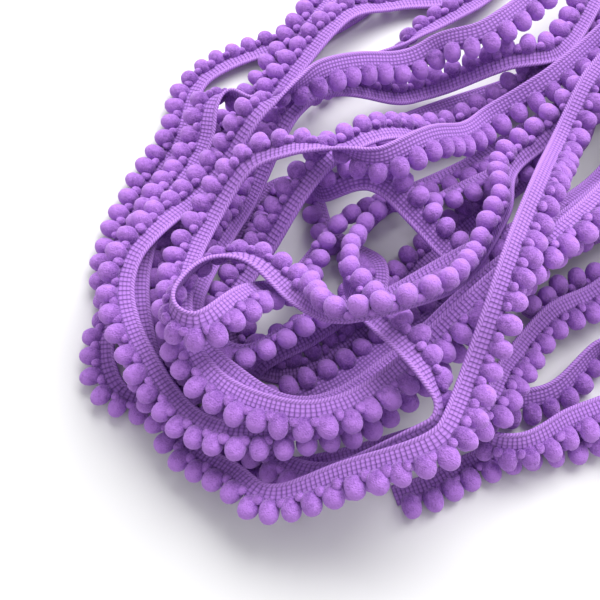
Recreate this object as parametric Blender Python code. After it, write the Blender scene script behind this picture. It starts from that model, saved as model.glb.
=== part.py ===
"""Pompom fringe trim: one long knitted tape with pompoms on one edge, wound by hand into a heap.

The trim is modelled straight, as it is knitted, and then laid along its route. Trim coordinates
are: along, the way from the cut end underneath; across, from the tape's free edge towards the
pompoms; and proud, up from the middle of the tape towards its ribbed front. All in millimetres.
"""

from collections import namedtuple

import bmesh
import bpy
import numpy as np

MM = 0.001

# Section of the trim, in millimetres.
TAPE_WIDTH = 5.4
TAPE_THICKNESS = 1.2
SEWING_GAP = 0.4
STRIP_WIDTH = 0.7
STRIP_THICKNESS = 1.0
POMPOM_LINE = 7.8
POMPOM_RADIUS = 2.6

# Locks: tapered bunches of pompoms, drawn out of the strip. A section has its place across, its
# length along the trim and its thickness.
LOCK_COUNT = 288
LOCK_ROOT = 6.0
Section = namedtuple("Section", "across length thickness")
LOCK_SECTIONS = [Section(7.7, 9.4, 5.0), Section(10.1, 6.4, 2.4)]

# A gap between locks has one more ring where its middle bows, in millimetres, or where the trim
# turns, as the sine of the angle, by more than this.
RING_BOW = 0.30
RING_TWIST = 0.30

# The cut end underneath lies flat on the floor, and its first pompoms are worn off.
FLAT_END = 10.0
BARE_END = 20.0

# The heap: how closely the trim is followed, and how it sags over what lies under it.
ROUTE_STEP = 2.0
SAG_PER_MM = 0.025
HOLLOW_PER_MM = 0.030
SAG_REACH = 44.0
CLEARANCE = 0.5
SAME_STRAND = 18.0
STACK_ROUNDS = 40
FLOOR_TOUCH = 0.3
HEAP_CENTRE = (47.03, 64.44)

# One pass of the trim across the heap. A pass in a higher layer lies on those in lower layers.
# A bend has x and y of the tape's free edge, in millimetres, and the roll in degrees: at 0 the
# tape lies front up with its pompoms on the right of the way it runs, at 90 they point up, at
# 180 it lies front down and at -90 or 270 they point down. One full turn adds 360.
Pass = namedtuple("Pass", "name layer bends")

PASSES = [
    Pass("cut end on the floor", 2, [
        (24, -50, 0), (33, -47, 0), (43, -42, 15), (54, -38, 15), (70, -35, 5), (83, -31, -30),
        (93, -21, -90)]),
    Pass("front hairpin", 3, [
        (84, -11, -115), (68, -23, -145), (56, -27, -130), (48, -34, -90), (50, -39, -60),
        (58, -39, -35), (70, -32, -20), (80, -28, 0)]),
    Pass("right hairpin", 3.5, [
        (98, -22, 20), (102, -9, 30), (89, 5, 40), (76, 2, 50), (68, -2, 70), (63, 1, 85),
        (65, 10, 80), (73, 19, 55), (83, 26, 35), (95, 35, 20)]),
    Pass("near turn", 3.6, [
        (103, 48, 10), (106, 64, 12), (97, 70, 12)]),
    Pass("floor run to the left", 3.1, [
        (89, 56, 12), (70, 42, 12), (56, 30, 12), (41, 17, 15), (29, 3, 15), (20, -8, 15),
        (13, -14, 20), (3, -20, 20), (-9, -21, 15)]),
    Pass("bowl's floor", 3.15, [
        (-20, -13, 15), (-23, 4, 12), (-22, 22, 12), (-14, 40, 12), (-6, 46, 25), (2, 45, 50),
        (7, 38, 50), (10, 29, 35), (17, 22, 20), (25, 14, 15), (24, 3, 12), (14, -5, 15),
        (3, -13, 25), (-9, -19, 50), (-14, -25, 85)]),
    Pass("floor run back to the right", 3.2, [
        (-12, -30, 105), (-4, -31, 145), (7, -27, 175), (16, -22, 190),
        (25, -15, 190), (40, -4, 185), (56, 7, 180), (75, 16, 180), (97, 26, 180)]),
    Pass("first far turn", 3.3, [
        (114, 36, 165), (128, 60, 110), (135, 96, 40), (129, 132, 12), (102, 149, 10),
        (75, 133, 5)]),
    Pass("first coil", 5.3, [
        (57, 114, -5), (33, 108, -10), (15, 97, -5), (-26, 36, 10), (-33, 10, 12), (-30, -9, 12),
        (-7, -40, 12), (8, -47, 0), (30, -43, -60)]),
    Pass("inner rise", 13, [
        (32, -40, -60), (29, -35, -30), (16, -16, 30), (12, -2, 80)]),
    Pass("inner run to the right", 5.7, [
        (15, 14, 90), (25, 28, 85), (42, 36, 40), (60, 45, 15), (79, 60, 12)]),
    Pass("second far turn", 5.7, [
        (112, 101, 12), (125, 141, 12), (94, 169, 12), (46, 160, 10), (20, 130, 10)]),
    Pass("second coil", 5, [
        (13, 112, 5), (-7, 78, 5), (-36, 37, 5), (-41, 11, 5), (-31, -23, 5), (-12, -42, 5),
        (21, -38, 5), (44, -33, 0)]),
    Pass("edge-on rise", 5, [
        (54, -18, -10), (68, -2, -15), (85, 8, 0)]),
    Pass("third far turn", 6, [
        (106, 31, 40), (119, 63, 110), (110, 88, 165)]),
    Pass("turned-over run", 6, [
        (82, 84, 180), (64, 81, 180), (20, 62, 180), (9, 52, 150)]),
    Pass("inner loop", 6, [
        (3, 40, 115), (6, 30, 115), (19, 30, 140), (30, 20, 160), (43, 9, 180), (59, 3, 190),
        (73, 8, 230)]),
    Pass("fourth far turn", 8, [
        (107, 44, 330), (123, 77, 365), (114, 98, 370)]),
    Pass("inner coil", 8, [
        (90, 81, 370), (59, 62, 365), (13, 36, 360), (-7, 14, 360), (-16, 2, 365),
        (-20, -8, 375)]),
    Pass("inner coil's front", 8, [
        (-19, -14, 390), (-13, -15, 400), (-5, -10, 405), (3, -5, 405), (20, 2, 395),
        (38, 10, 380), (64, 21, 370), (95, 50, 370)]),
    Pass("fifth far turn", 9, [
        (123, 89, 370), (123, 119, 370), (101, 105, 365)]),
    Pass("middle run", 9, [
        (80, 75, 372), (62, 73, 375), (41, 71, 372), (32, 68, 365), (20, 65, 360), (7, 61, 358),
        (0, 55, 360), (-4, 49, 365)]),
    Pass("middle coil", 9, [
        (-12, 35, 405), (-18, 22, 405), (-25, 1, 380), (-25, -13, 370), (-17, -23, 365),
        (-3, -30, 370), (15, -22, 385), (93, 39, 370)]),
    Pass("sixth far turn", 11, [
        (130, 90, 360), (133, 124, 320), (112, 132, 250), (92, 120, 215)]),
    Pass("great outer coil", 11, [
        (72, 99, 200), (54, 84, 200), (41, 84, 205), (34, 81, 205), (18, 75, 210), (5, 67, 225),
        (-1, 59, 270), (-7, 51, 325), (-11, 47, 350), (-41, 9, 365), (-44, -3, 365),
        (-39, -17, 365), (-26, -34, 365), (-14, -39, 365), (8, -36, 370), (25, -26, 380),
        (46, -6, 370), (72, 16, 370)]),
    Pass("seventh far turn", 12, [
        (108, 59, 370), (128, 88, 320), (122, 110, 250), (98, 92, 205)]),
    Pass("top coil", 12, [
        (74, 71, 200), (56, 62, 205), (47, 53, 205), (38, 46, 210), (28, 38, 215), (20, 33, 240),
        (10, 32, 300), (-3, 31, 345), (-14, 29, 355), (-25, 11, 360), (-28, -6, 365),
        (-25, -20, 365), (-16, -30, 350), (0, -36, 345), (13, -32, 360), (46, -6, 370),
        (70, 13, 370)]),
    Pass("eighth far turn", 15, [
        (103, 49, 370), (121, 70, 370), (115, 83, 370), (96, 66, 370)]),
    Pass("top wave and eyelet fold", 15, [
        (76, 48, 375), (63, 37, 390), (57, 18, 410), (39, -9, 435), (24, -17, 445),
        (10, -18, 435), (-2, -10, 380), (-14, 1, 320), (-24, 0, 283), (-31, -10, 280),
        (-30, -15, 300), (-25, -16, 330)]),
    Pass("under the eyelet fold", 14, [
        (-15, -4, 355), (-5, 5, 380)]),
    Pass("low inner run", 5.5, [
        (4, 18, 420), (15, 29, 430), (31, 42, 400), (52, 51, 375)]),
    Pass("ninth far turn", 5.55, [
        (111, 95, 370), (133, 128, 370), (124, 156, 370), (90, 143, 360)]),
    Pass("third coil", 5.6, [
        (62, 109, 355), (42, 96, 330), (33, 90, 280), (21, 85, 262), (9, 77, 266), (0, 68, 280),
        (-14, 63, 270), (-21, 66, 275), (-24, 62, 335), (-26, 51, 360), (-37, 26, 370),
        (-41, 4, 370), (-38, -15, 370), (-29, -37, 370), (-15, -47, 370), (-7, -53, 365)]),
    Pass("front run up to the right", 16, [
        (10, -50, 360), (27, -47, 355), (33, -43, 355), (53, 6, 340), (80, 61, 355),
        (87, 70, 360)]),
    Pass("tenth far turn", 16, [
        (114, 102, 370), (136, 132, 370)]),
    Pass("last far turn", 1, [
        (144, 166, 370), (124, 182, 372), (84, 170, 375)]),
    Pass("outermost coil on the floor", 1, [
        (38, 125, 375), (13, 102, 372), (-28, 80, 345), (-35, 58, 370), (-44, 39, 372),
        (-50, 19, 365), (-51, -2, 315), (-51, -15, 355), (-48, -22, 370), (-42, -24, 365)]),
]

# Round rods that stand for the trim's section while it is stacked: across, and radius.
Rod = namedtuple("Rod", "across radius")
TAPE_RODS = [Rod(across, TAPE_THICKNESS / 2) for across in np.linspace(0, TAPE_WIDTH, 5)]
RODS = TAPE_RODS + [Rod(6.2, 1.2), Rod(POMPOM_LINE, POMPOM_RADIUS)]


def smooth_route(values, knots, at):
    """Cubic curve through the rows of values at the knots, with chord-length tangents."""
    slopes = np.empty_like(values)
    slopes[1:-1] = (values[2:] - values[:-2]) / (knots[2:] - knots[:-2])[:, None]
    slopes[0] = (values[1] - values[0]) / (knots[1] - knots[0])
    slopes[-1] = (values[-1] - values[-2]) / (knots[-1] - knots[-2])
    first = np.clip(np.searchsorted(knots, at, side="right") - 1, 0, len(knots) - 2)
    span = (knots[first + 1] - knots[first])[:, None]
    t = (at - knots[first])[:, None] / span
    return ((2 * t**3 - 3 * t**2 + 1) * values[first]
            + (t**3 - 2 * t**2 + t) * span * slopes[first]
            + (3 * t**2 - 2 * t**3) * values[first + 1]
            + (t**3 - t**2) * span * slopes[first + 1])


def running_length(points):
    """Length from the first point to each point."""
    return np.concatenate([[0.0], np.cumsum(np.linalg.norm(np.diff(points, axis=0), axis=1))])


def plan_route():
    """Plan of the free edge at even steps: along, x and y, roll, and the layer of each place."""
    bends = np.array([bend for run in PASSES for bend in run.bends], float)
    layers = np.array([run.layer for run in PASSES for _ in run.bends], float)
    knots = running_length(bends[:, :2])
    fine = np.linspace(0, knots[-1], 20000)
    curve = smooth_route(bends, knots, fine)
    length = running_length(curve[:, :2])
    along = np.linspace(0, length[-1], round(length[-1] / ROUTE_STEP) + 1)
    x, y, roll = (np.interp(along, length, column) for column in curve.T)
    knot_here = np.interp(along, length, fine)
    halfway = (knots[1:] + knots[:-1]) / 2
    layer = layers[np.searchsorted(halfway, knot_here)]
    roll[along <= FLAT_END + ROUTE_STEP] = 0
    return along, np.column_stack([x, y]), np.radians(roll), layer


def find_contacts(along, plan, roll, layer):
    """Pairs of places that cross in plan, upper one first, and how far apart their edges must be."""
    way = np.gradient(plan, axis=0)
    way /= np.linalg.norm(way, axis=1)[:, None]
    right = np.column_stack([way[:, 1], -way[:, 0]])
    order = np.lexsort((along, layer)).argsort()
    middle = plan + right * (TAPE_WIDTH * np.cos(roll))[:, None]
    reach = 2 * TAPE_WIDTH + CLEARANCE
    uppers, lowers = [], []
    for start in range(0, len(along), 400):
        near = np.linalg.norm(middle[start:start + 400, None] - middle[None], axis=2) < reach
        upper, lower = np.nonzero(near)
        upper += start
        crossing = (order[upper] > order[lower]) & (abs(along[upper] - along[lower]) > SAME_STRAND)
        uppers.append(upper[crossing])
        lowers.append(lower[crossing])
    upper, lower = np.concatenate(uppers), np.concatenate(lowers)
    lift = np.full(len(upper), -np.inf)
    for over in RODS:
        over_plan = plan + right * (over.across * np.cos(roll))[:, None]
        over_rise = over.across * np.sin(roll)
        for under in RODS:
            under_plan = plan + right * (under.across * np.cos(roll))[:, None]
            under_rise = under.across * np.sin(roll)
            apart = over.radius + under.radius + CLEARANCE
            room = apart**2 - ((over_plan[upper] - under_plan[lower])**2).sum(axis=1)
            rise = under_rise[lower] - over_rise[upper] + np.sqrt(np.maximum(room, 0))
            lift = np.where(room > 0, np.maximum(lift, rise), lift)
    climb = 0.45 * SAG_PER_MM * (along[upper] - along[lower])**2
    touching = np.isfinite(lift)
    return upper[touching], lower[touching], np.minimum(lift, climb)[touching]


def floor_heights(along, roll):
    """Lowest height of the free edge at each place, where the trim lies on the floor."""
    def lying_on(rods):
        return np.max([rod.radius - rod.across * np.sin(roll) for rod in rods], axis=0)

    return np.where(along < BARE_END, lying_on(TAPE_RODS), lying_on(RODS))


def drape(held, sag):
    """The lowest heights that sag from each held place by no more than a parabola."""
    draped = held.copy()
    for places in range(1, round(SAG_REACH / ROUTE_STEP) + 1):
        drop = sag * (places * ROUTE_STEP)**2
        draped[places:] = np.maximum(draped[places:], held[:-places] - drop)
        draped[:-places] = np.maximum(draped[:-places], held[places:] - drop)
    return draped


def bridge(draped, sag):
    """Fills each hollow to a parabola, where the trim is too stiff to follow it down."""
    return -drape(-drape(draped, sag), sag)


def stack_heights(along, plan, roll, layer):
    """Height of the free edge at each place: on the floor, or sagging over what it crosses."""
    upper, lower, lift = find_contacts(along, plan, roll, layer)
    floor = floor_heights(along, roll)
    height = floor.copy()
    for _ in range(STACK_ROUNDS):
        held = floor.copy()
        np.maximum.at(held, upper, height[lower] + lift)
        settled = bridge(drape(held, SAG_PER_MM), HOLLOW_PER_MM)
        change = abs(settled - height).max()
        height = settled
        if change < 0.02:
            break
    window = np.hanning(9)
    padded = np.pad(height, 4, mode="edge")
    height = np.maximum(floor, np.convolve(padded, window / window.sum(), mode="valid"))
    height[along <= FLAT_END + ROUTE_STEP] = TAPE_THICKNESS / 2
    return height


def lay_route():
    """The route in space: along, the free edge, and the across and proud directions."""
    along, plan, roll, layer = plan_route()
    height = stack_heights(along, plan, roll, layer)
    edge = np.column_stack([plan - HEAP_CENTRE, height])
    way = np.gradient(edge, axis=0)
    way /= np.linalg.norm(way, axis=1)[:, None]
    level = np.cross(way, (0, 0, 1))
    level /= np.linalg.norm(level, axis=1)[:, None]
    lean = roll[:, None]
    across = np.cos(lean) * level + np.sin(lean) * np.cross(level, way)
    return along, edge, across, np.cross(across, way)


def follow(route, points):
    """Places in space of points in trim coordinates."""
    along, *fields = route
    at, across, proud = points.T
    edge, sideways, outward = (
        np.column_stack([np.interp(at, along, axis) for axis in field.T]) for field in fields)
    return edge + across[:, None] * sideways + proud[:, None] * outward


def lock_starts(length):
    """Where each lock's root starts along the trim."""
    pitch = (length - BARE_END) / LOCK_COUNT
    return BARE_END + (pitch - LOCK_ROOT) / 2 + pitch * np.arange(LOCK_COUNT)


def ring_places(route):
    """Places of the solids' rings: the ends of the roots, and the middle of each uneven gap."""
    length = route[0][-1]
    starts = lock_starts(length)
    rings = np.sort(np.concatenate([[0, FLAT_END, length], starts, starts + LOCK_ROOT]))
    middles = (rings[1:] + rings[:-1]) / 2
    bow = np.zeros(len(middles))
    for across in (0, TAPE_WIDTH):
        before, middle, after = (
            follow(route, np.column_stack([at, np.full(len(at), across), np.zeros(len(at))]))
            for at in (rings[:-1], middles, rings[1:]))
        bow = np.maximum(bow, np.linalg.norm(middle - (before + after) / 2, axis=1))
    facing = np.column_stack([np.interp(rings, route[0], axis) for axis in route[2].T])
    twist = np.linalg.norm(np.diff(facing, axis=0), axis=1)
    in_gap = np.diff(rings) > LOCK_ROOT + 1
    uneven = (bow > RING_BOW) | (twist > RING_TWIST)
    return np.sort(np.concatenate([rings, middles[in_gap & uneven]]))


def straight_bar(rings, start, end, thickness):
    """A straight bar along X with a ring of four vertices at each place."""
    bar = bmesh.new()
    bmesh.ops.create_cube(bar, size=1)
    lengthways = [edge for edge in bar.edges if edge.verts[0].co.x * edge.verts[1].co.x < 0]
    bmesh.ops.subdivide_edges(bar, edges=lengthways, cuts=len(rings) - 2)
    for vert in bar.verts:
        ring = round((vert.co.x + 0.5) * (len(rings) - 1))
        side = end if vert.co.y > 0 else start
        vert.co = (rings[ring], side, vert.co.z * thickness)
    return bar


def grow_locks(strip, starts):
    """Draws a tapered lock out of each root on the strip's outer side."""
    root_middles = starts + LOCK_ROOT / 2
    tips = []
    for face in strip.faces:
        middle = face.calc_center_median()
        outer = middle.y > TAPE_WIDTH + SEWING_GAP + 0.9 * STRIP_WIDTH
        if outer and abs(root_middles - middle.x).min() < 1:
            tips.append(face)
    for section in LOCK_SECTIONS:
        tips = bmesh.ops.extrude_discrete_faces(strip, faces=tips)["faces"]
        for face in tips:
            middle = face.calc_center_median()
            for vert in face.verts:
                half_length = np.copysign(section.length / 2, vert.co.x - middle.x)
                half_thickness = np.copysign(section.thickness / 2, vert.co.z)
                vert.co = (middle.x + half_length, section.across, half_thickness)


def yarn_material(name, colour, roughness):
    """A plain dyed yarn."""
    material = bpy.data.materials.new(name)
    material.use_nodes = True
    shader = material.node_tree.nodes["Principled BSDF"]
    shader.inputs["Base Color"].default_value = (*colour, 1)
    shader.inputs["Roughness"].default_value = roughness
    shader.inputs["Metallic"].default_value = 0
    return material


def add_laid(name, shape, route, material, collection):
    """Lays a straight shape along the route and adds it to the scene as one object.

    What comes within FLOOR_TOUCH of the floor rests level on it. Along, across and proud are a
    left-handed set, so laying turns the faces inside out.
    """
    bmesh.ops.recalc_face_normals(shape, faces=shape.faces)
    places = follow(route, np.array([vert.co for vert in shape.verts]))
    places[places[:, 2] < FLOOR_TOUCH, 2] = 0
    for vert, place in zip(shape.verts, places * MM):
        vert.co = place
    bmesh.ops.reverse_faces(shape, faces=shape.faces)
    mesh = bpy.data.meshes.new(name)
    shape.to_mesh(mesh)
    shape.free()
    mesh.materials.append(material)
    collection.objects.link(bpy.data.objects.new(name, mesh))


for leftover in list(bpy.data.objects):
    bpy.data.objects.remove(leftover)

trim = bpy.data.collections.new("pompom_fringe_trim")
bpy.context.scene.collection.children.link(trim)
trim_route = lay_route()
trim_rings = ring_places(trim_route)

tape = straight_bar(trim_rings, 0, TAPE_WIDTH, TAPE_THICKNESS)
tape_yarn = yarn_material("knitted_tape", (0.30, 0.12, 0.52), 0.75)
add_laid("tape", tape, trim_route, tape_yarn, trim)

strip_start = TAPE_WIDTH + SEWING_GAP
fringe = straight_bar(trim_rings, strip_start, strip_start + STRIP_WIDTH, STRIP_THICKNESS)
grow_locks(fringe, lock_starts(trim_route[0][-1]))
pompom_yarn = yarn_material("pompom_yarn", (0.36, 0.15, 0.60), 0.9)
add_laid("fringe", fringe, trim_route, pompom_yarn, trim)
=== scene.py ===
from collections import namedtuple
from math import pi, radians

import bmesh
import bpy
import numpy as np
from mathutils import Matrix, Vector


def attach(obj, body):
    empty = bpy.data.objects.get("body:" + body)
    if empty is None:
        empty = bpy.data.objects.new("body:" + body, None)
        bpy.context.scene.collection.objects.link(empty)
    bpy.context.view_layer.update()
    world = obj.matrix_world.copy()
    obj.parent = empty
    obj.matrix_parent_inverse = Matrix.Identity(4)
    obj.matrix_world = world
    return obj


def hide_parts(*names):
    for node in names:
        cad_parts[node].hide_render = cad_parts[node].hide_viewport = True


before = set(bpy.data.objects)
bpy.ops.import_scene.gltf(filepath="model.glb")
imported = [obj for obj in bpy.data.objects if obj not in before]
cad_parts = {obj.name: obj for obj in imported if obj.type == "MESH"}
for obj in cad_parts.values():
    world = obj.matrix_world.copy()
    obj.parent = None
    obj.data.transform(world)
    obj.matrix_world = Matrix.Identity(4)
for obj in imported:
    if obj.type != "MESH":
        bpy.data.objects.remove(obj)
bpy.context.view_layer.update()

MM = 0.001

# The view. The heap is looked at from close by and steeply from above, so that its front end
# and its cut ends show and its far coils run out of the frame.
HEAP_CENTRE = (47.03, 64.44)
VIEW_ELEVATION = radians(65)
VIEW_DISTANCE = 265.0
VIEW_TARGET = Vector((-HEAP_CENTRE[0], -HEAP_CENTRE[1], 10.0))
FRAME_PIXELS = 600
FOCAL_PIXELS = 951
SENSOR_WIDTH = 36
NEAREST_SEEN = 0.01

camera_data = bpy.data.cameras.new("camera")
camera_data.sensor_width = SENSOR_WIDTH
camera_data.lens = SENSOR_WIDTH * FOCAL_PIXELS / FRAME_PIXELS
camera_data.clip_start = NEAREST_SEEN
camera = bpy.data.objects.new("camera", camera_data)
turn = Matrix.Rotation(pi / 2 - VIEW_ELEVATION, 4, "X")
camera.matrix_world = Matrix.Translation(VIEW_TARGET * MM) @ turn @ Matrix.Translation(
    (0, 0, VIEW_DISTANCE * MM))
bpy.context.scene.collection.objects.link(camera)
bpy.context.scene.camera = camera


# The knitted tape: a narrow ribbed warp knit of soft yarn with a rolled cord along its free
# edge. It is one strip over five metres long, made straight and then wound into the heap.
# Trim coordinates are along, across from the free edge to the pompoms, and proud of the front.
TAPE_WIDTH = 5.4
TAPE_THICKNESS = 1.2
POMPOM_LINE = 7.8
POMPOM_RADIUS = 2.6

# The cut end underneath lies flat on the table, and its first pompoms are worn off.
BARE_END = 20.0
FLAT_END = 10.0

# The heap: how closely the trim is followed, and how it sags over what lies under it.
ROUTE_STEP = 2.0
CURVE_POINTS = 20000
SAG_PER_MM = 0.025
HOLLOW_PER_MM = 0.030
SAG_REACH = 44.0
CLEARANCE = 0.5
SAME_STRAND = 18.0
CLIMB_SHARE = 0.45
STACK_ROUNDS = 40
SETTLED = 0.02
SMOOTHING_STEPS = 9
BATCH = 400

# One pass of the trim across the heap. A pass in a higher layer lies on those in lower layers.
# A bend has x and y of the tape's free edge, in millimetres, and the roll in degrees: at 0 the
# tape lies front up with its pompoms on the right of the way it runs, at 90 they point up, at
# 180 it lies front down and at -90 or 270 they point down. One full turn adds 360.
Pass = namedtuple("Pass", "name layer bends")

PASSES = [
    Pass("cut end on the floor", 2, [
        (24, -50, 0), (33, -47, 0), (43, -42, 15), (54, -38, 15), (70, -35, 5), (83, -31, -30),
        (93, -21, -90)]),
    Pass("front hairpin", 3, [
        (84, -11, -115), (68, -23, -145), (56, -27, -130), (48, -34, -90), (50, -39, -60),
        (58, -39, -35), (70, -32, -20), (80, -28, 0)]),
    Pass("right hairpin", 3.5, [
        (98, -22, 20), (102, -9, 30), (89, 5, 40), (76, 2, 50), (68, -2, 70), (63, 1, 85),
        (65, 10, 80), (73, 19, 55), (83, 26, 35), (95, 35, 20)]),
    Pass("near turn", 3.6, [
        (103, 48, 10), (106, 64, 12), (97, 70, 12)]),
    Pass("floor run to the left", 3.1, [
        (89, 56, 12), (70, 42, 12), (56, 30, 12), (41, 17, 15), (29, 3, 15), (20, -8, 15),
        (13, -14, 20), (3, -20, 20), (-9, -21, 15)]),
    Pass("bowl's floor", 3.15, [
        (-20, -13, 15), (-23, 4, 12), (-22, 22, 12), (-14, 40, 12), (-6, 46, 25), (2, 45, 50),
        (7, 38, 50), (10, 29, 35), (17, 22, 20), (25, 14, 15), (24, 3, 12), (14, -5, 15),
        (3, -13, 25), (-9, -19, 50), (-14, -25, 85)]),
    Pass("floor run back to the right", 3.2, [
        (-12, -30, 105), (-4, -31, 145), (7, -27, 175), (16, -22, 190),
        (25, -15, 190), (40, -4, 185), (56, 7, 180), (75, 16, 180), (97, 26, 180)]),
    Pass("first far turn", 3.3, [
        (114, 36, 165), (128, 60, 110), (135, 96, 40), (129, 132, 12), (102, 149, 10),
        (75, 133, 5)]),
    Pass("first coil", 5.3, [
        (57, 114, -5), (33, 108, -10), (15, 97, -5), (-26, 36, 10), (-33, 10, 12), (-30, -9, 12),
        (-7, -40, 12), (8, -47, 0), (30, -43, -60)]),
    Pass("inner rise", 13, [
        (32, -40, -60), (29, -35, -30), (16, -16, 30), (12, -2, 80)]),
    Pass("inner run to the right", 5.7, [
        (15, 14, 90), (25, 28, 85), (42, 36, 40), (60, 45, 15), (79, 60, 12)]),
    Pass("second far turn", 5.7, [
        (112, 101, 12), (125, 141, 12), (94, 169, 12), (46, 160, 10), (20, 130, 10)]),
    Pass("second coil", 5, [
        (13, 112, 5), (-7, 78, 5), (-36, 37, 5), (-41, 11, 5), (-31, -23, 5), (-12, -42, 5),
        (21, -38, 5), (44, -33, 0)]),
    Pass("edge-on rise", 5, [
        (54, -18, -10), (68, -2, -15), (85, 8, 0)]),
    Pass("third far turn", 6, [
        (106, 31, 40), (119, 63, 110), (110, 88, 165)]),
    Pass("turned-over run", 6, [
        (82, 84, 180), (64, 81, 180), (20, 62, 180), (9, 52, 150)]),
    Pass("inner loop", 6, [
        (3, 40, 115), (6, 30, 115), (19, 30, 140), (30, 20, 160), (43, 9, 180), (59, 3, 190),
        (73, 8, 230)]),
    Pass("fourth far turn", 8, [
        (107, 44, 330), (123, 77, 365), (114, 98, 370)]),
    Pass("inner coil", 8, [
        (90, 81, 370), (59, 62, 365), (13, 36, 360), (-7, 14, 360), (-16, 2, 365),
        (-20, -8, 375)]),
    Pass("inner coil's front", 8, [
        (-19, -14, 390), (-13, -15, 400), (-5, -10, 405), (3, -5, 405), (20, 2, 395),
        (38, 10, 380), (64, 21, 370), (95, 50, 370)]),
    Pass("fifth far turn", 9, [
        (123, 89, 370), (123, 119, 370), (101, 105, 365)]),
    Pass("middle run", 9, [
        (80, 75, 372), (62, 73, 375), (41, 71, 372), (32, 68, 365), (20, 65, 360), (7, 61, 358),
        (0, 55, 360), (-4, 49, 365)]),
    Pass("middle coil", 9, [
        (-12, 35, 405), (-18, 22, 405), (-25, 1, 380), (-25, -13, 370), (-17, -23, 365),
        (-3, -30, 370), (15, -22, 385), (93, 39, 370)]),
    Pass("sixth far turn", 11, [
        (130, 90, 360), (133, 124, 320), (112, 132, 250), (92, 120, 215)]),
    Pass("great outer coil", 11, [
        (72, 99, 200), (54, 84, 200), (41, 84, 205), (34, 81, 205), (18, 75, 210), (5, 67, 225),
        (-1, 59, 270), (-7, 51, 325), (-11, 47, 350), (-41, 9, 365), (-44, -3, 365),
        (-39, -17, 365), (-26, -34, 365), (-14, -39, 365), (8, -36, 370), (25, -26, 380),
        (46, -6, 370), (72, 16, 370)]),
    Pass("seventh far turn", 12, [
        (108, 59, 370), (128, 88, 320), (122, 110, 250), (98, 92, 205)]),
    Pass("top coil", 12, [
        (74, 71, 200), (56, 62, 205), (47, 53, 205), (38, 46, 210), (28, 38, 215), (20, 33, 240),
        (10, 32, 300), (-3, 31, 345), (-14, 29, 355), (-25, 11, 360), (-28, -6, 365),
        (-25, -20, 365), (-16, -30, 350), (0, -36, 345), (13, -32, 360), (46, -6, 370),
        (70, 13, 370)]),
    Pass("eighth far turn", 15, [
        (103, 49, 370), (121, 70, 370), (115, 83, 370), (96, 66, 370)]),
    Pass("top wave and eyelet fold", 15, [
        (76, 48, 375), (63, 37, 390), (57, 18, 410), (39, -9, 435), (24, -17, 445),
        (10, -18, 435), (-2, -10, 380), (-14, 1, 320), (-24, 0, 283), (-31, -10, 280),
        (-30, -15, 300), (-25, -16, 330)]),
    Pass("under the eyelet fold", 14, [
        (-15, -4, 355), (-5, 5, 380)]),
    Pass("low inner run", 5.5, [
        (4, 18, 420), (15, 29, 430), (31, 42, 400), (52, 51, 375)]),
    Pass("ninth far turn", 5.55, [
        (111, 95, 370), (133, 128, 370), (124, 156, 370), (90, 143, 360)]),
    Pass("third coil", 5.6, [
        (62, 109, 355), (42, 96, 330), (33, 90, 280), (21, 85, 262), (9, 77, 266), (0, 68, 280),
        (-14, 63, 270), (-21, 66, 275), (-24, 62, 335), (-26, 51, 360), (-37, 26, 370),
        (-41, 4, 370), (-38, -15, 370), (-29, -37, 370), (-15, -47, 370), (-7, -53, 365)]),
    Pass("front run up to the right", 16, [
        (10, -50, 360), (27, -47, 355), (33, -43, 355), (53, 6, 340), (80, 61, 355),
        (87, 70, 360)]),
    Pass("tenth far turn", 16, [
        (114, 102, 370), (136, 132, 370)]),
    Pass("last far turn", 1, [
        (144, 166, 370), (124, 182, 372), (84, 170, 375)]),
    Pass("outermost coil on the floor", 1, [
        (38, 125, 375), (13, 102, 372), (-28, 80, 345), (-35, 58, 370), (-44, 39, 372),
        (-50, 19, 365), (-51, -2, 315), (-51, -15, 355), (-48, -22, 370), (-42, -24, 365)]),
]

# Round rods that stand for the trim's section while it is stacked: across, and radius.
Rod = namedtuple("Rod", "across radius")
TAPE_RODS = [Rod(across, TAPE_THICKNESS / 2) for across in np.linspace(0, TAPE_WIDTH, 5)]
ROOT_ROD = Rod(6.2, 1.2)
RODS = TAPE_RODS + [ROOT_ROD, Rod(POMPOM_LINE, POMPOM_RADIUS)]


def smooth_route(values, knots, at):
    """Cubic curve through the rows of values at the knots, with chord-length tangents."""
    slopes = np.empty_like(values)
    slopes[1:-1] = (values[2:] - values[:-2]) / (knots[2:] - knots[:-2])[:, None]
    slopes[0] = (values[1] - values[0]) / (knots[1] - knots[0])
    slopes[-1] = (values[-1] - values[-2]) / (knots[-1] - knots[-2])
    first = np.clip(np.searchsorted(knots, at, side="right") - 1, 0, len(knots) - 2)
    span = (knots[first + 1] - knots[first])[:, None]
    t = (at - knots[first])[:, None] / span
    return ((2 * t**3 - 3 * t**2 + 1) * values[first]
            + (t**3 - 2 * t**2 + t) * span * slopes[first]
            + (3 * t**2 - 2 * t**3) * values[first + 1]
            + (t**3 - t**2) * span * slopes[first + 1])


def running_length(points):
    """Length from the first point to each point."""
    return np.concatenate([[0.0], np.cumsum(np.linalg.norm(np.diff(points, axis=0), axis=1))])


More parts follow.
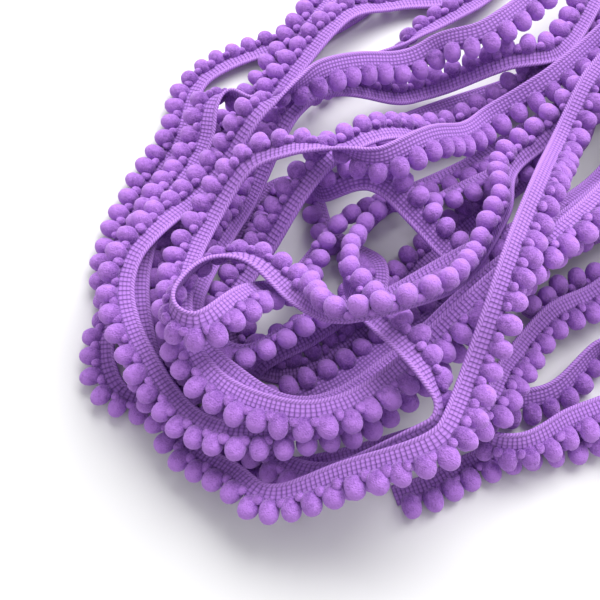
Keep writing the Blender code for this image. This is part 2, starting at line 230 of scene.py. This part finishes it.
def plan_route():
    """Plan of the free edge at even steps: along, x and y, roll, and the layer of each place."""
    bends = np.array([bend for run in PASSES for bend in run.bends], float)
    layers = np.array([run.layer for run in PASSES for _ in run.bends], float)
    knots = running_length(bends[:, :2])
    fine = np.linspace(0, knots[-1], CURVE_POINTS)
    curve = smooth_route(bends, knots, fine)
    length = running_length(curve[:, :2])
    along = np.linspace(0, length[-1], round(length[-1] / ROUTE_STEP) + 1)
    x, y, roll = (np.interp(along, length, column) for column in curve.T)
    knot_here = np.interp(along, length, fine)
    halfway = (knots[1:] + knots[:-1]) / 2
    layer = layers[np.searchsorted(halfway, knot_here)]
    roll[along <= FLAT_END + ROUTE_STEP] = 0
    return along, np.column_stack([x, y]), np.radians(roll), layer


def find_contacts(along, plan, roll, layer):
    """Pairs of places that cross in plan, upper one first, and the rise needed between them."""
    way = np.gradient(plan, axis=0)
    way /= np.linalg.norm(way, axis=1)[:, None]
    right = np.column_stack([way[:, 1], -way[:, 0]])
    order = np.lexsort((along, layer)).argsort()
    middle = plan + right * (TAPE_WIDTH * np.cos(roll))[:, None]
    reach = 2 * TAPE_WIDTH + CLEARANCE
    uppers, lowers = [], []
    for start in range(0, len(along), BATCH):
        near = np.linalg.norm(middle[start:start + BATCH, None] - middle[None], axis=2) < reach
        upper, lower = np.nonzero(near)
        upper += start
        crossing = (order[upper] > order[lower]) & (abs(along[upper] - along[lower]) > SAME_STRAND)
        uppers.append(upper[crossing])
        lowers.append(lower[crossing])
    upper, lower = np.concatenate(uppers), np.concatenate(lowers)
    lift = np.full(len(upper), -np.inf)
    for over in RODS:
        over_plan = plan + right * (over.across * np.cos(roll))[:, None]
        over_rise = over.across * np.sin(roll)
        for under in RODS:
            under_plan = plan + right * (under.across * np.cos(roll))[:, None]
            under_rise = under.across * np.sin(roll)
            apart = over.radius + under.radius + CLEARANCE
            room = apart**2 - ((over_plan[upper] - under_plan[lower])**2).sum(axis=1)
            rise = under_rise[lower] - over_rise[upper] + np.sqrt(np.maximum(room, 0))
            lift = np.where(room > 0, np.maximum(lift, rise), lift)
    climb = CLIMB_SHARE * SAG_PER_MM * (along[upper] - along[lower])**2
    touching = np.isfinite(lift)
    return upper[touching], lower[touching], np.minimum(lift, climb)[touching]


def floor_heights(along, roll):
    """Lowest height of the free edge at each place, where the trim lies on the floor."""
    def lying_on(rods):
        return np.max([rod.radius - rod.across * np.sin(roll) for rod in rods], axis=0)

    return np.where(along < BARE_END, lying_on(TAPE_RODS), lying_on(RODS))


def drape(held, sag):
    """The lowest heights that sag from each held place by no more than a parabola."""
    draped = held.copy()
    for places in range(1, round(SAG_REACH / ROUTE_STEP) + 1):
        drop = sag * (places * ROUTE_STEP)**2
        draped[places:] = np.maximum(draped[places:], held[:-places] - drop)
        draped[:-places] = np.maximum(draped[:-places], held[places:] - drop)
    return draped


def bridge(draped, sag):
    """Fills each hollow to a parabola, where the trim is too stiff to follow it down."""
    return -drape(-drape(draped, sag), sag)


def stack_heights(along, plan, roll, layer):
    """Height of the free edge at each place: on the floor, or sagging over what it crosses."""
    upper, lower, lift = find_contacts(along, plan, roll, layer)
    floor = floor_heights(along, roll)
    height = floor.copy()
    for _ in range(STACK_ROUNDS):
        held = floor.copy()
        np.maximum.at(held, upper, height[lower] + lift)
        settled = bridge(drape(held, SAG_PER_MM), HOLLOW_PER_MM)
        change = abs(settled - height).max()
        height = settled
        if change < SETTLED:
            break
    window = np.hanning(SMOOTHING_STEPS)
    padded = np.pad(height, SMOOTHING_STEPS // 2, mode="edge")
    height = np.maximum(floor, np.convolve(padded, window / window.sum(), mode="valid"))
    height[along <= FLAT_END + ROUTE_STEP] = TAPE_THICKNESS / 2
    return height


def lay_route():
    """The route in space: along, the free edge, and the across and proud directions."""
    along, plan, roll, layer = plan_route()
    height = stack_heights(along, plan, roll, layer)
    edge = np.column_stack([plan - HEAP_CENTRE, height])
    way = np.gradient(edge, axis=0)
    way /= np.linalg.norm(way, axis=1)[:, None]
    level = np.cross(way, (0, 0, 1))
    level /= np.linalg.norm(level, axis=1)[:, None]
    lean = roll[:, None]
    across = np.cos(lean) * level + np.sin(lean) * np.cross(level, way)
    return along, edge, across, np.cross(across, way)


def follow(route, points):
    """Places in space of points in trim coordinates."""
    along, *fields = route
    at, across, proud = points.T
    edge, sideways, outward = (
        np.column_stack([np.interp(at, along, axis) for axis in field.T]) for field in fields)
    return edge + across[:, None] * sideways + proud[:, None] * outward


# The tape is drawn out to the roots of the pile, which hide its inner edge.
TAPE_STEP = 1.5
TAPE_EDGE = 5.65

# The tape's section, as across and proud: the rolled cord, its groove, and the flat web.
TAPE_SECTION = [
    (0.00, 0.00), (0.18, 0.42), (0.58, 0.58), (0.98, 0.46), (1.20, 0.34), (1.60, 0.44),
    (3.30, 0.48), (5.00, 0.42), (TAPE_EDGE, 0.16), (TAPE_EDGE, -0.16), (5.00, -0.42),
    (3.30, -0.48), (1.60, -0.44), (1.20, -0.34), (0.98, -0.46), (0.58, -0.56), (0.18, -0.42)]


def knit_tape(route):
    """The tape as a straight prism with a ring at each step, laid along the route."""
    rings = round(route[0][-1] / TAPE_STEP)
    corners = len(TAPE_SECTION)
    strip = bmesh.new()
    bmesh.ops.create_cone(
        strip, cap_ends=True, segments=corners, radius1=1, radius2=1, depth=1)
    lengthways = [edge for edge in strip.edges if edge.verts[0].co.z * edge.verts[1].co.z < 0]
    bmesh.ops.subdivide_edges(strip, edges=lengthways, cuts=rings - 1)
    trim = strip.verts.layers.float_vector.new("trim")
    for vert in strip.verts:
        corner = round(np.arctan2(vert.co.y, vert.co.x) / (2 * pi) * corners) % corners
        across, proud = TAPE_SECTION[corner]
        vert[trim] = ((vert.co.z + 0.5) * route[0][-1], across, proud)
    laid = follow(route, np.array([vert[trim] for vert in strip.verts])) * MM
    for vert, place in zip(strip.verts, laid):
        vert.co = place
    bmesh.ops.recalc_face_normals(strip, faces=strip.faces)
    return strip


def add_piece(name, shape, finish, node):
    """Adds a mesh as a piece that stands for a solid of the frame and rides on its body."""
    mesh = bpy.data.meshes.new(name)
    shape.to_mesh(mesh)
    shape.free()
    mesh.shade_smooth()
    mesh.materials.append(finish)
    piece = bpy.data.objects.new(name, mesh)
    bpy.context.scene.collection.objects.link(piece)
    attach(piece, "root")
    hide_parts(node)
    return piece


class Value:
    """A socket of a material. Arithmetic on it adds Math nodes."""

    def __init__(self, yarn, socket):
        self.yarn = yarn
        self.socket = socket

    def maths(self, operation, *terms):
        return self.yarn.node("Math", {"operation": operation}, dict(enumerate(terms)))

    def __add__(self, other):
        return self.maths("ADD", self, other)

    def __radd__(self, other):
        return self.maths("ADD", other, self)

    def __sub__(self, other):
        return self.maths("SUBTRACT", self, other)

    def __rsub__(self, other):
        return self.maths("SUBTRACT", other, self)

    def __mul__(self, other):
        return self.maths("MULTIPLY", self, other)

    def __rmul__(self, other):
        return self.maths("MULTIPLY", other, self)

    def __pow__(self, other):
        return self.maths("POWER", self, other)

    def __gt__(self, other):
        return self.maths("GREATER_THAN", self, other)

    def __lt__(self, other):
        return self.maths("LESS_THAN", self, other)

    def ridges(self, pitch):
        """Rises from 0 to 1 and falls back once in each pitch, with a narrow valley."""
        return self.maths("ABSOLUTE", self.maths("SINE", self * (pi / pitch)))


class Yarn:
    """A material for dyed yarn, with the nodes that vary it."""

    def __init__(self, name):
        self.material = bpy.data.materials.new(name)
        self.material.use_nodes = True
        self.tree = self.material.node_tree
        self.shader = self.tree.nodes["Principled BSDF"]

    def node(self, kind, settings, inputs, output=0):
        node = self.tree.nodes.new("ShaderNode" + kind)
        for name, value in settings.items():
            setattr(node, name, value)
        for name, value in inputs.items():
            self.feed(node.inputs[name], value)
        return Value(self, node.outputs[output])

    def feed(self, socket, value):
        if isinstance(value, Value):
            self.tree.links.new(value.socket, socket)
        else:
            socket.default_value = value

    def blend(self, share, low, high):
        """Colour from low to high as the share goes from 0 to 1."""
        return self.node("Mix", {"data_type": "RGBA"}, {0: share, 6: low, 7: high}, output=2)

    def finish(self, **sockets):
        for name, value in sockets.items():
            self.feed(self.shader.inputs[name.replace("_", " ")], value)
        return self.material


# The knit, in millimetres: courses across the tape, rows along it, and the cord's twist.
STITCH_PITCH = 1.12
ROW_PITCH = 1.06
CORD_PITCH = 0.8
CORD_WIDTH = 1.15
CORD_SLANT = 0.8
FIBRE_SCALE = 1.6
COURSE_WANDER = 0.25
ROW_WANDER = 0.1
KNIT_DEPTH = 0.0003
TAPE_LIGHT = (0.425, 0.20, 0.645, 1)
# The dark end of the knit's colour is painted shade, laid in its grooves and between its stitches.
TAPE_GROOVE_SHADE = (0.065, 0.02, 0.15, 1)
# The rolled cord is painted a little lighter than the web: a painted highlight along the raised
# edge.
CORD_HIGHLIGHT = (0.46, 0.225, 0.68, 1)

tape_yarn = Yarn("knitted_tape")
trim_place = tape_yarn.node("Attribute", {"attribute_name": "trim"}, {}, output=1)
along, across, proud = (
    tape_yarn.node("SeparateXYZ", {}, {0: trim_place}, output=axis) for axis in range(3))
fibre = tape_yarn.node(
    "TexNoise", {}, {"Vector": trim_place, "Scale": FIBRE_SCALE, "Detail": 3.0})
course = (along + COURSE_WANDER * fibre).ridges(STITCH_PITCH)
row = (across - CORD_WIDTH + ROW_WANDER * fibre).ridges(ROW_PITCH)
front = course ** 0.35 * (0.5 + 0.5 * row ** 0.5)
back = 0.35 + 0.65 * (course * row) ** 0.9
is_front = proud > 0
web = is_front * front + (1 - is_front) * back
is_cord = across < CORD_WIDTH
stitches = (along + CORD_SLANT * across).ridges(CORD_PITCH)
relief_and_groove_shade = is_cord * (0.4 + 0.6 * stitches ** 0.5) + (1 - is_cord) * web
# The cord takes the lighter colour: a painted highlight.
light = tape_yarn.blend(is_cord, TAPE_LIGHT, CORD_HIGHLIGHT)
# The knit is painted darker where its relief is low: painted shade in the grooves between stitches,
# on top of the fibre's random tone.
tape_colour_and_painted_light = tape_yarn.blend(relief_and_groove_shade * (0.84 + 0.32 * fibre), TAPE_GROOVE_SHADE, light)
raised = tape_yarn.node(
    "Bump", {}, {"Strength": 0.9, "Distance": KNIT_DEPTH, "Height": relief_and_groove_shade + 0.2 * fibre})
tape_finish = tape_yarn.finish(
    Base_Color=tape_colour_and_painted_light, Normal=raised, Roughness=0.8, Sheen_Weight=0.15, Sheen_Roughness=0.4,
    Sheen_Tint=(0.80, 0.55, 1.0, 1), Specular_IOR_Level=0.25)

heap_route = lay_route()
tape = add_piece("knitted_tape", knit_tape(heap_route), tape_finish, "tape")
tape_length = heap_route[0][-1] * MM


# The pompoms: short bunches of cut pile, bound in a row to the tape's edge. Each is a soft
# ball a little longer outwards than it is thick, and no two are quite alike.
POMPOM_PITCH = 5.95
POMPOM_THICK = 5.6
POMPOM_LONG = 6.8
POMPOM_CENTRE = 7.3
POMPOM_ROWS = 4
ALONG_SLACK = 0.25
ACROSS_SLACK = 0.3
PROUD_SLACK = 0.4
SMALLEST, LARGEST = 0.93, 1.05

# A ball: its lumps, how much fuller it is at the root, and its cage, which softening shrinks.
POMPOM_LUMPS = 0.05
ROOT_FULLNESS = 0.07
CAGE_RADIUS = 1.19
SOFT_LEVELS = 1

# Crowded pompoms part until they are this close, in so many rounds, and move no further.
CLOSEST = 5.2
SPREAD_ROUNDS = 30
SPREAD_SHARE = 0.25
FURTHEST = 1.6
TINY = 1e-6
chance = np.random.default_rng(7)


def ball_cage():
    """The cage of a ball one unit in radius, of 24 faces, from a cube cut across each face."""
    ball = bmesh.new()
    bmesh.ops.create_cube(ball, size=1)
    bmesh.ops.subdivide_edges(ball, edges=ball.edges, cuts=1, use_grid_fill=True)
    for vert in ball.verts:
        vert.co = vert.co.normalized() * CAGE_RADIUS
        fullness = 1 - ROOT_FULLNESS * vert.co.y
        vert.co.x *= fullness
        vert.co.z *= fullness
    return ball


def row_of_balls(count):
    """A straight row of like balls, one unit in radius, as a mesh."""
    ball = bpy.data.meshes.new("ball")
    cage = ball_cage()
    cage.to_mesh(ball)
    cage.free()
    row = bpy.data.objects.new("row", ball)
    bpy.context.scene.collection.objects.link(row)
    array = row.modifiers.new("row", "ARRAY")
    array.count = count
    bpy.context.view_layer.update()
    made = bpy.data.meshes.new_from_object(row.evaluated_get(bpy.context.evaluated_depsgraph_get()))
    bpy.data.objects.remove(row)
    return made, np.array([vert.co for vert in ball.vertices])


def turned_frames(route, at):
    """For each place along: the way, the across and the proud directions, as rows."""
    across, proud = (
        np.column_stack([np.interp(at, route[0], axis) for axis in field.T])
        for field in route[2:])
    across /= np.linalg.norm(across, axis=1)[:, None]
    proud /= np.linalg.norm(proud, axis=1)[:, None]
    return np.stack([np.cross(proud, across), across, proud], axis=1)


def add_balls(name, centres, frames, sizes, finish):
    """Joins one soft ball for each centre into a piece. Sizes are radii way, across and proud.

    A ball that would sink into the surface under the heap lies on it instead.
    """
    mesh, unit = row_of_balls(len(centres))
    lumps = POMPOM_LUMPS * chance.standard_normal((len(centres), len(unit), 1))
    shapes = unit[None] * (1 + lumps)
    depth = np.linalg.norm(sizes * frames[:, :, 2], axis=1)
    lift = np.maximum(0, depth - centres[:, 2])[:, None] * (0, 0, 1)
    places = np.einsum("kva,kab->kvb", shapes * sizes[:, None], frames)
    places += (centres + lift)[:, None]
    places[:, :, 2] = np.maximum(places[:, :, 2], 0)
    mesh.vertices.foreach_set("co", (places * MM).ravel())
    tuft = mesh.attributes.new("tuft", "FLOAT_VECTOR", "POINT")
    shade = chance.random(len(centres))
    # Each ball's points carry its random tone and how far out from the root they lie, which sets
    # the painted shade at the root.
    marks = np.stack([np.repeat(shade, len(unit)), np.tile(unit[:, 1], len(centres)),
                      np.zeros(len(centres) * len(unit))], axis=1)
    tuft.data.foreach_set("vector", marks.ravel())
    shape = bmesh.new()
    shape.from_mesh(mesh)
    bmesh.ops.recalc_face_normals(shape, faces=shape.faces)
    piece = add_piece(name, shape, finish, "fringe")
    soften = piece.modifiers.new("soften", "SUBSURF")
    soften.levels = SOFT_LEVELS
    soften.render_levels = SOFT_LEVELS
    return piece


def spread(centres):
    """Moves crowded pompoms apart, a little at a time."""
    homes = centres.copy()
    for _ in range(SPREAD_ROUNDS):
        apart = centres[:, None] - centres[None]
        gap = np.linalg.norm(apart, axis=2)
        np.fill_diagonal(gap, np.inf)
        push = np.where(gap < CLOSEST, SPREAD_SHARE * (CLOSEST - gap) / gap, 0)
        centres = centres + (apart * push[:, :, None]).sum(axis=1)
        shift = centres - homes
        far = np.linalg.norm(shift, axis=1)[:, None]
        centres = homes + shift * np.minimum(1, FURTHEST / np.maximum(far, TINY))
    return centres


PILE_SCALE = 2600.0
CLUMP_SCALE = 700.0
PILE_DEPTH = 0.0005
POMPOM_LIGHT = (0.46, 0.21, 0.695, 1)
# The dark end of the pile's colour serves both its random darker tufts and the painted shade at
# each ball's root.
POMPOM_DARK_AND_SHADE = (0.105, 0.035, 0.215, 1)

pompom_yarn = Yarn("pompom_pile")
tuft_marks = pompom_yarn.node("Attribute", {"attribute_name": "tuft"}, {}, output=1)
own, outward = (
    pompom_yarn.node("SeparateXYZ", {}, {0: tuft_marks}, output=axis) for axis in range(2))
ball_place = pompom_yarn.node("TexCoord", {}, {}, output=3)
pile = pompom_yarn.node(
    "TexNoise", {}, {"Vector": ball_place, "Scale": PILE_SCALE, "Detail": 3.0})
clumps = pompom_yarn.node(
    "TexNoise", {}, {"Vector": ball_place, "Scale": CLUMP_SCALE, "Detail": 2.0})
# Each ball's tone varies at random, in clumps and in the fine pile, and is painted darker towards
# its root: painted shade where the ball meets the tape.
tone_and_root_shade = 0.62 + 0.25 * own + 0.42 * outward + 0.9 * (clumps - 0.5) + 1.0 * (pile - 0.5)
pile_colour_and_root_shade = pompom_yarn.blend(tone_and_root_shade, POMPOM_DARK_AND_SHADE, POMPOM_LIGHT)
pile_raised = pompom_yarn.node(
    "Bump", {}, {"Strength": 0.8, "Distance": PILE_DEPTH, "Height": pile + 0.8 * clumps})
pompom_finish = pompom_yarn.finish(
    Base_Color=pile_colour_and_root_shade, Normal=pile_raised, Roughness=0.95, Sheen_Weight=0.6,
    Sheen_Roughness=0.4, Sheen_Tint=(0.80, 0.55, 1.0, 1), Specular_IOR_Level=0.05)

# They are even along the line of their own middles, which is longer round the outside of a bend.
fine = np.linspace(0, heap_route[0][-1], CURVE_POINTS)
pompom_line = follow(heap_route, np.column_stack([
    fine, np.full(len(fine), POMPOM_CENTRE), np.zeros(len(fine))]))
line_length = running_length(pompom_line)
pompom_at = np.arange(0.5 * POMPOM_PITCH, line_length[-1], POMPOM_PITCH)
pompom_at += chance.uniform(-ALONG_SLACK, ALONG_SLACK, len(pompom_at))
pompom_at = np.interp(pompom_at, line_length, fine)
pompom_home = np.column_stack([
    pompom_at,
    POMPOM_CENTRE + chance.uniform(-ACROSS_SLACK, ACROSS_SLACK, len(pompom_at)),
    chance.uniform(-PROUD_SLACK, PROUD_SLACK, len(pompom_at))])
pompom_centres = spread(follow(heap_route, pompom_home))
pompom_frames = turned_frames(heap_route, pompom_at)
pompom_sizes = np.array([POMPOM_THICK, POMPOM_LONG, POMPOM_THICK]) / 2
pompom_sizes = pompom_sizes * chance.uniform(SMALLEST, LARGEST, (len(pompom_at), 3))
pompoms = [
    add_balls(f"pompoms_{row + 1}", pompom_centres[share], pompom_frames[share],
              pompom_sizes[share], pompom_finish)
    for row, share in enumerate(np.array_split(np.arange(len(pompom_at)), POMPOM_ROWS))]


# The tufts at the pompoms' roots: where the pile is bound to the tape's edge it bulges into a
# smaller knob on the front, one between each two pompoms.
TUFT_ACROSS = 5.5
TUFT_PROUD = 1.15
TUFT_SIZES = (3.0, 2.9, 2.3)
TUFT_SLACK = 0.3
FIRST_PLACE, LAST_PLACE = 0.35, 0.65
TUFT_SMALLEST, TUFT_LARGEST = 0.8, 1.15

tuft_share = chance.uniform(FIRST_PLACE, LAST_PLACE, len(pompom_at) - 1)
tuft_at = pompom_at[:-1] + np.diff(pompom_at) * tuft_share
tuft_home = np.column_stack([
    tuft_at,
    TUFT_ACROSS + chance.uniform(-TUFT_SLACK, TUFT_SLACK, len(tuft_at)),
    TUFT_PROUD + chance.uniform(-TUFT_SLACK, TUFT_SLACK, len(tuft_at))])
tuft_sizes = np.array(TUFT_SIZES) / 2
tuft_sizes = tuft_sizes * chance.uniform(TUFT_SMALLEST, TUFT_LARGEST, (len(tuft_at), 3))
tufts = add_balls("root_tufts", follow(heap_route, tuft_home),
                  turned_frames(heap_route, tuft_at), tuft_sizes, pompom_finish)

TAPE_WIDTH * MM * tape_length


# The setting: a plain white table under a broad soft light from behind on the right, with the
# room's white walls filling the shade.
FLOOR_SIZE = 3.0
FLOOR_WHITE = (0.75, 0.75, 0.75, 1)
WINDOW_PLACE = (0.35, 0.60, 0.85)
WINDOW_AIM = (-0.03, -0.03, 0)
WINDOW_SIZE = 1.1
WINDOW_POWER = 25
ROOM_WHITE = (0.97, 0.97, 1.0, 1)
ROOM_STRENGTH = 0.66

floor_shape = bmesh.new()
bmesh.ops.create_grid(floor_shape, x_segments=1, y_segments=1, size=FLOOR_SIZE / 2)
floor_mesh = bpy.data.meshes.new("table")
floor_shape.to_mesh(floor_mesh)
floor_shape.free()
floor_finish = Yarn("white_table").finish(Base_Color=FLOOR_WHITE, Roughness=0.7)
floor_mesh.materials.append(floor_finish)
floor = bpy.data.objects.new("table", floor_mesh)
bpy.context.scene.collection.objects.link(floor)


def add_light(name, place, aim, size, power):
    """A square lamp at a place, in metres, turned to its aim."""
    lamp = bpy.data.lights.new(name, "AREA")
    lamp.size = size
    lamp.energy = power
    light = bpy.data.objects.new(name, lamp)
    towards = (Vector(aim) - Vector(place)).to_track_quat("-Z", "Y")
    light.matrix_world = Matrix.Translation(place) @ towards.to_matrix().to_4x4()
    bpy.context.scene.collection.objects.link(light)


add_light("window", WINDOW_PLACE, WINDOW_AIM, WINDOW_SIZE, WINDOW_POWER)
world = bpy.data.worlds.new("white_room")
world.use_nodes = True
background = world.node_tree.nodes["Background"]
background.inputs["Color"].default_value = ROOM_WHITE
background.inputs["Strength"].default_value = ROOM_STRENGTH
bpy.context.scene.world = world
bpy.context.scene.view_settings.view_transform = "Standard"
